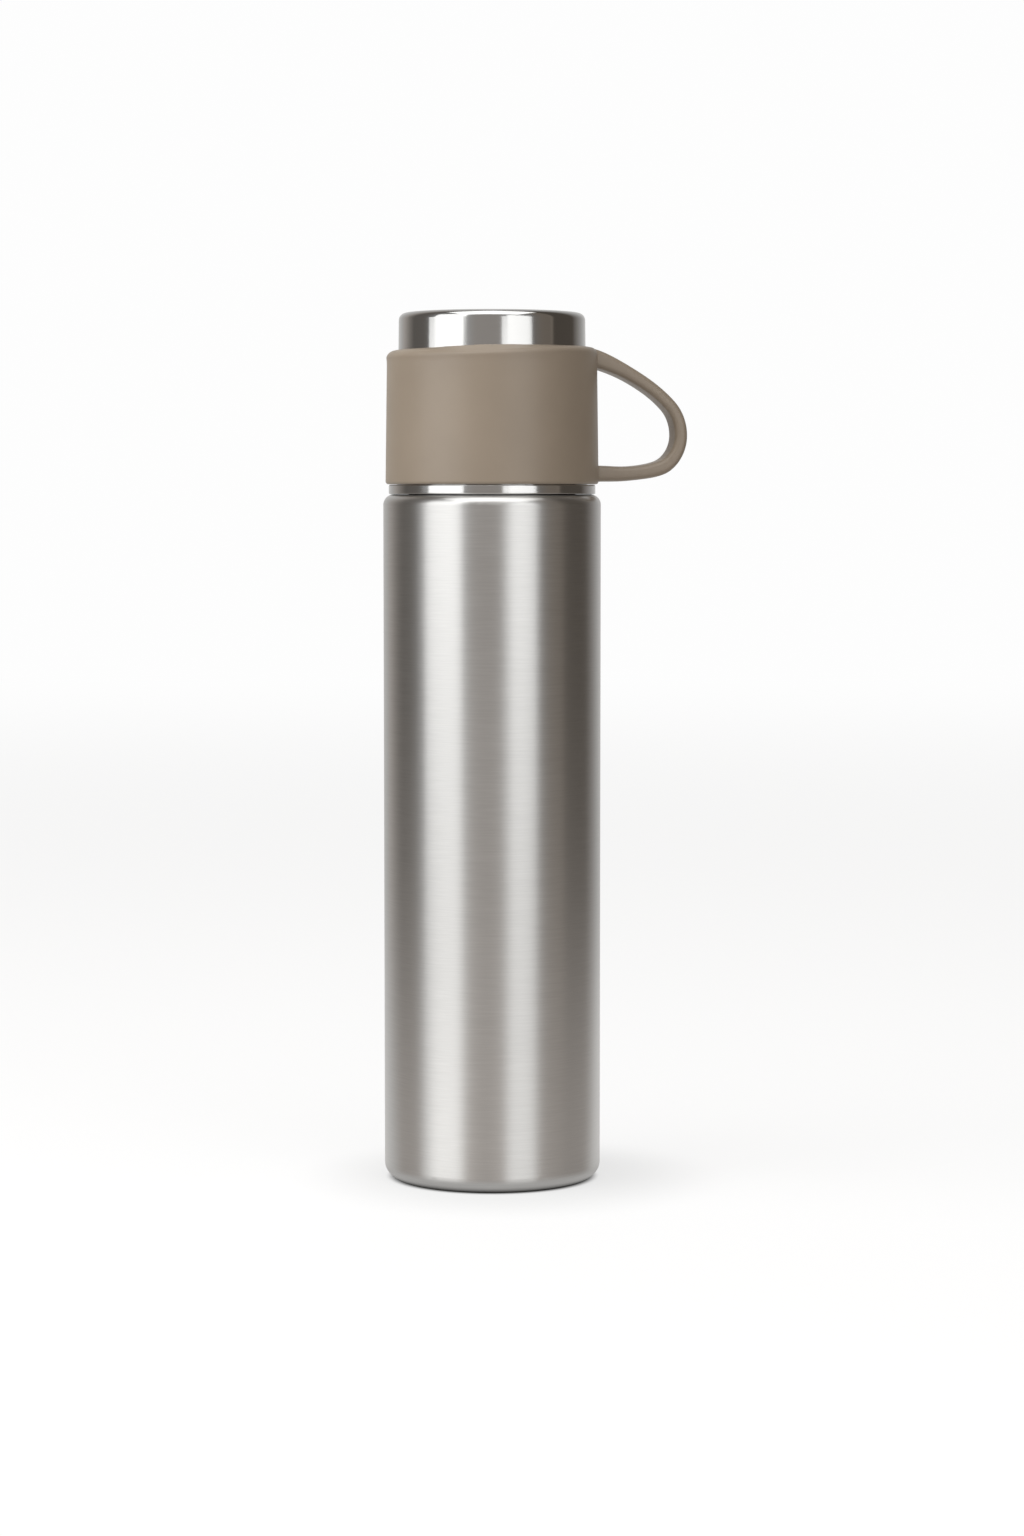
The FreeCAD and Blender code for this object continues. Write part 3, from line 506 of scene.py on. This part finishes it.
# (bearing to the camera's right in degrees, level, colour)
# the brown tones from 66 to 118 degrees are a painted reflection of the handle
ROOM_TONES = [
    (-180, 0.74, NEUTRAL), (-150, 0.54, NEUTRAL), (-137, 0.47, CREAM), (-122, 0.26, SAND),
    (-112, 0.14, SAND), (-92, 0.15, SAND), (-78, 0.24, NEUTRAL), (-30, 0.42, NEUTRAL),
    (-20, 0.37, CREAM), (8, 0.36, CREAM), (16, 0.45, NEUTRAL), (48, 0.26, NEUTRAL),
    (55, 0.20, SAND), (66, 0.20, BROWN), (77, 0.19, BROWN), (79.5, 0.26, BROWN),
    (82, 0.09, BROWN), (118, 0.095, BROWN), (129, 0.25, CREAM), (150, 0.50, NEUTRAL),
    (180, 0.74, NEUTRAL),
]
# painted light from the floor near the flask by bearing, seen as painted reflections in the steel
PAINTED_FLOOR_GLOW_TONES = [
    (-180, 0.75, NEUTRAL), (-142, 0.66, NEUTRAL), (-115, 0.48, CREAM), (-88, 0.50, CREAM),
    (-74, 0.90, NEUTRAL), (-62, 1.30, NEUTRAL), (-38, 1.25, NEUTRAL), (-24, 0.62, CREAM),
    (-7, 0.53, CREAM), (10, 0.60, CREAM), (20, 1.05, NEUTRAL), (42, 1.00, NEUTRAL),
    (54, 0.54, CREAM), (90, 0.45, CREAM), (120, 0.44, CREAM), (148, 0.75, NEUTRAL),
    (180, 0.75, NEUTRAL),
]
BODY_RADIUS = 0.0325
# painted light ring on the floor next to the base, a painted reflection in the bottom corner
PAINTED_CORNER_GLOW = 0.64
FLOOR_HALF_SIZE = 30.0
# painted shadow on the floor round the base, shifted towards this bearing, and a painted dark ring where it
# stands
PAINTED_SHADOW_BEARING = 60.0
PAINTED_SHADOW_SHIFT = 0.006
# distances from the flask's axis between which each change happens
PAINTED_SHADOW_DISTANCES = (0.030, 0.070)
PAINTED_CREVICE_SHADE_DISTANCES = (0.0286, 0.0324)
PAINTED_CORNER_GLOW_DISTANCES = (0.034, 0.044)
ROOM_DISTANCES = (0.22, 0.85)
FADE_DISTANCES = (0.4, 3.0)
LEFT_RADIANCE = 1.47
RIGHT_RADIANCE = 1.27
# (name, first and last bearing, bottom, top, radiance); the cup reflects the middle panels
SOFTBOXES = [
    ("softbox_left_low", -74.0, -31.0, -0.9, 0.26, LEFT_RADIANCE),
    ("softbox_left_middle", -82.5, -34.5, 0.26, 0.37, LEFT_RADIANCE),
    ("softbox_left_high", -74.0, -31.0, 0.37, 1.2, LEFT_RADIANCE),
    ("softbox_right_low", 19.0, 47.2, -0.3, 0.17, RIGHT_RADIANCE),
    ("softbox_right_middle", 12.0, 50.0, 0.17, 0.37, RIGHT_RADIANCE),
    ("softbox_right_high", 19.0, 47.2, 0.37, 0.8, RIGHT_RADIANCE),
]


def towards(bearing, elevation):
    """Unit vector away from the flask. Bearing is degrees to the camera's right of the camera."""
    turn = math.radians(CAMERA_BEARING + bearing)
    lift = math.radians(elevation)
    return Vector((math.sin(turn) * math.cos(lift), -math.cos(turn) * math.cos(lift), math.sin(lift)))


def add_camera():
    camera = bpy.data.objects.new("camera", bpy.data.cameras.new("camera"))
    camera.data.lens = FOCAL_LENGTH
    camera.data.sensor_width = FRAME_LONG_SIDE
    camera.data.clip_end = 100.0
    back = towards(0.0, 0.0)
    aside = Vector((-back.y, back.x, 0.0))
    camera.location = back * CAMERA_DISTANCE + aside * CAMERA_SHIFT_ASIDE + Vector((0, 0, CAMERA_HEIGHT))
    look = -towards(0.0, CAMERA_PITCH)
    camera.rotation_mode = "QUATERNION"
    camera.rotation_quaternion = look.to_track_quat("-Z", "Y")
    bpy.context.scene.collection.objects.link(camera)
    bpy.context.scene.camera = camera


def add_softbox(name, first, last, bottom, top, radiance, elevation=0.0, glossy=True):
    """A rectangular area light that covers the bearings first to last, seen from the flask."""
    light = bpy.data.lights.new(name, "AREA")
    light.shape = "RECTANGLE"
    light.size = 2 * SOFTBOX_DISTANCE * math.tan(math.radians(last - first) / 2)
    light.size_y = top - bottom
    light.energy = radiance * math.pi * light.size * light.size_y
    light.color = SOFTBOX_COLOUR
    lamp = bpy.data.objects.new(name, light)
    direction = towards((first + last) / 2, elevation)
    lamp.location = direction * SOFTBOX_DISTANCE + Vector((0, 0, (top + bottom) / 2))
    lamp.rotation_mode = "QUATERNION"
    lamp.rotation_quaternion = (-direction).to_track_quat("-Z", "Y")
    lamp.visible_camera = False
    lamp.visible_glossy = glossy
    bpy.context.scene.collection.objects.link(lamp)


def arithmetic(tree, operation, a, b):
    """The result of a math node on two values, either of which may be a plain number."""
    node = tree.nodes.new("ShaderNodeMath")
    node.operation = operation
    for value, socket in ((a, node.inputs[0]), (b, node.inputs[1])):
        if isinstance(value, float):
            socket.default_value = value
        else:
            tree.links.new(value, socket)
    return node.outputs["Value"]


def colour_by_bearing(tree, place, tones, body_radius=0.0):
    """Colour of a direction, or of a place on the floor, by its bearing from the flask.

    With a body radius, the tones close in on the flask so that they run straight down its reflection.
    """
    mapping = tree.nodes.new("ShaderNodeMapping")
    mapping.inputs["Rotation"].default_value = (0.0, 0.0, math.radians(90.0 - CAMERA_BEARING))
    gradient = tree.nodes.new("ShaderNodeTexGradient")
    gradient.gradient_type = "RADIAL"
    ramp = tree.nodes.new("ShaderNodeValToRGB")
    tree.links.new(place, mapping.inputs["Vector"])
    tree.links.new(mapping.outputs["Vector"], gradient.inputs["Vector"])
    turn = gradient.outputs["Fac"]
    if body_radius:
        length = tree.nodes.new("ShaderNodeVectorMath")
        length.operation = "LENGTH"
        tree.links.new(place, length.inputs[0])
        near = arithmetic(tree, "DIVIDE", body_radius / 2, length.outputs["Value"])
        closing = arithmetic(tree, "SUBTRACT", 1.0, near)
        turn = arithmetic(tree, "DIVIDE", arithmetic(tree, "SUBTRACT", turn, 0.5), closing)
        turn = arithmetic(tree, "ADD", turn, 0.5)
    tree.links.new(turn, ramp.inputs["Fac"])
    while len(ramp.color_ramp.elements) < len(tones):
        ramp.color_ramp.elements.new(0.5)
    for element, (bearing, level, colour) in zip(ramp.color_ramp.elements, tones):
        element.position = (bearing + 180.0) / 360.0
        element.color = (*shade(colour, level), 1.0)
    return ramp.outputs["Color"]


def camera_sees(tree, seen, others, surface):
    """Show one shader to the camera and another to the light that falls on the flask."""
    path = tree.nodes.new("ShaderNodeLightPath")
    mix = tree.nodes.new("ShaderNodeMixShader")
    tree.links.new(path.outputs["Is Camera Ray"], mix.inputs["Fac"])
    tree.links.new(others, mix.inputs[1])
    tree.links.new(seen, mix.inputs[2])
    tree.links.new(mix.outputs["Shader"], surface)


def add_world():
    """White to the camera; to everything else a grey room that is darker at the flask's sides."""
    world = bpy.data.worlds.new("studio")
    bpy.context.scene.world = world
    world.use_nodes = True
    tree = world.node_tree
    backdrop = tree.nodes["Background"]
    backdrop.inputs["Color"].default_value = (BACKDROP, BACKDROP, BACKDROP, 1.0)
    place = tree.nodes.new("ShaderNodeTexCoord")
    room = tree.nodes.new("ShaderNodeBackground")
    tree.links.new(colour_by_bearing(tree, place.outputs["Generated"], ROOM_TONES), room.inputs["Color"])
    camera_sees(tree, backdrop.outputs["Background"], room.outputs["Background"],
                tree.nodes["World Output"].inputs["Surface"])


def distance_ramp(tree, place, distances, low, high):
    """Smooth change from low to high between two distances from the flask's axis."""
    length = tree.nodes.new("ShaderNodeVectorMath")
    length.operation = "LENGTH"
    tree.links.new(place, length.inputs[0])
    ramp = tree.nodes.new("ShaderNodeMapRange")
    ramp.interpolation_type = "SMOOTHSTEP"
    ramp.inputs["From Min"].default_value = distances[0]
    ramp.inputs["From Max"].default_value = distances[1]
    ramp.inputs["To Min"].default_value = low
    ramp.inputs["To Max"].default_value = high
    tree.links.new(length.outputs["Value"], ramp.inputs["Value"])
    return ramp.outputs["Result"]


def blend(tree, factor, a, b):
    """Mix two colours by a factor."""
    node = tree.nodes.new("ShaderNodeMix")
    node.data_type = "RGBA"
    for value, socket in ((factor, "Factor"), (a, "A"), (b, "B")):
        tree.links.new(value, node.inputs[socket])
    return node.outputs["Result"]


def add_floor():
    """A wide pale table: the camera sees it nearly white, with the flask's gentle shadow: partly real shade
    from the lamps, partly a painted shadow with a painted dark ring where the base stands.

    The flask's reflections and light see the table glowing with painted light in the room's tones,
    which meet the softboxes' edges, with a painted light ring next to the base and the same painted shade.
    """
    size = FLOOR_HALF_SIZE
    points = np.array([(-size, -size, 0.0), (size, -size, 0.0), (size, size, 0.0), (-size, size, 0.0)])
    floor = make_mesh("floor", points, np.array([[0, 1, 2, 3]]))
    material, tree, shader = new_material("floor", Roughness=0.9, Specular_IOR_Level=0.0)
    place = tree.nodes.new("ShaderNodeTexCoord").outputs["Object"]
    aside = tree.nodes.new("ShaderNodeMapping")
    aside.inputs["Location"].default_value = -towards(PAINTED_SHADOW_BEARING, 0.0) * PAINTED_SHADOW_SHIFT
    tree.links.new(place, aside.inputs["Vector"])
    # painted shadow round the base and a painted dark ring where it stands darken the floor's light
    painted_shadow = distance_ramp(tree, aside.outputs["Vector"], PAINTED_SHADOW_DISTANCES, PAINTED_SHADOW_DEPTH, 1.0)
    painted_crevice_shade = distance_ramp(tree, place, PAINTED_CREVICE_SHADE_DISTANCES, 0.0, 1.0)
    painted_contact_shade = arithmetic(tree, "MULTIPLY", painted_shadow, painted_crevice_shade)
    fade = distance_ramp(tree, place, FADE_DISTANCES, FLOOR_SHADE, 0.0)
    tree.links.new(fade, shader.inputs["Base Color"])
    shader.inputs["Emission Color"].default_value = (1.0, 1.0, 1.0, 1.0)
    brightness = distance_ramp(tree, place, FADE_DISTANCES, FLOOR_GLOW, BACKDROP)
    tree.links.new(arithmetic(tree, "MULTIPLY", painted_contact_shade, brightness), shader.inputs["Emission Strength"])
    # to the flask's reflections and light the floor glows with painted light by bearing, under the same
    # painted shade
    painted_floor_glow = tree.nodes.new("ShaderNodeEmission")
    # painted light ring next to the base, which the bottom corner reflects
    corner = tree.nodes.new("ShaderNodeRGB")
    corner.outputs["Color"].default_value = (*shade(NEUTRAL, PAINTED_CORNER_GLOW), 1.0)
    near = blend(tree, distance_ramp(tree, place, PAINTED_CORNER_GLOW_DISTANCES, 0.0, 1.0), corner.outputs["Color"],
                 colour_by_bearing(tree, place, PAINTED_FLOOR_GLOW_TONES, BODY_RADIUS))
    tones = blend(tree, distance_ramp(tree, place, ROOM_DISTANCES, 0.0, 1.0), near,
                  colour_by_bearing(tree, place, ROOM_TONES))
    tree.links.new(tones, painted_floor_glow.inputs["Color"])
    tree.links.new(painted_contact_shade, painted_floor_glow.inputs["Strength"])
    camera_sees(tree, shader.outputs["BSDF"], painted_floor_glow.outputs["Emission"],
                tree.nodes["Material Output"].inputs["Surface"])
    floor.data.materials.append(material)


add_camera()
for softbox in SOFTBOXES:
    add_softbox(*softbox)
add_softbox("softbox_top", -30.0, 30.0, -0.55, 0.55, 1.7, elevation=66.0)
add_softbox("fill_left", -103.0, -53.0, -0.3, 0.7, 2.05, elevation=25.0, glossy=False)
add_world()
add_floor()
bpy.context.scene.view_settings.view_transform = "Standard"
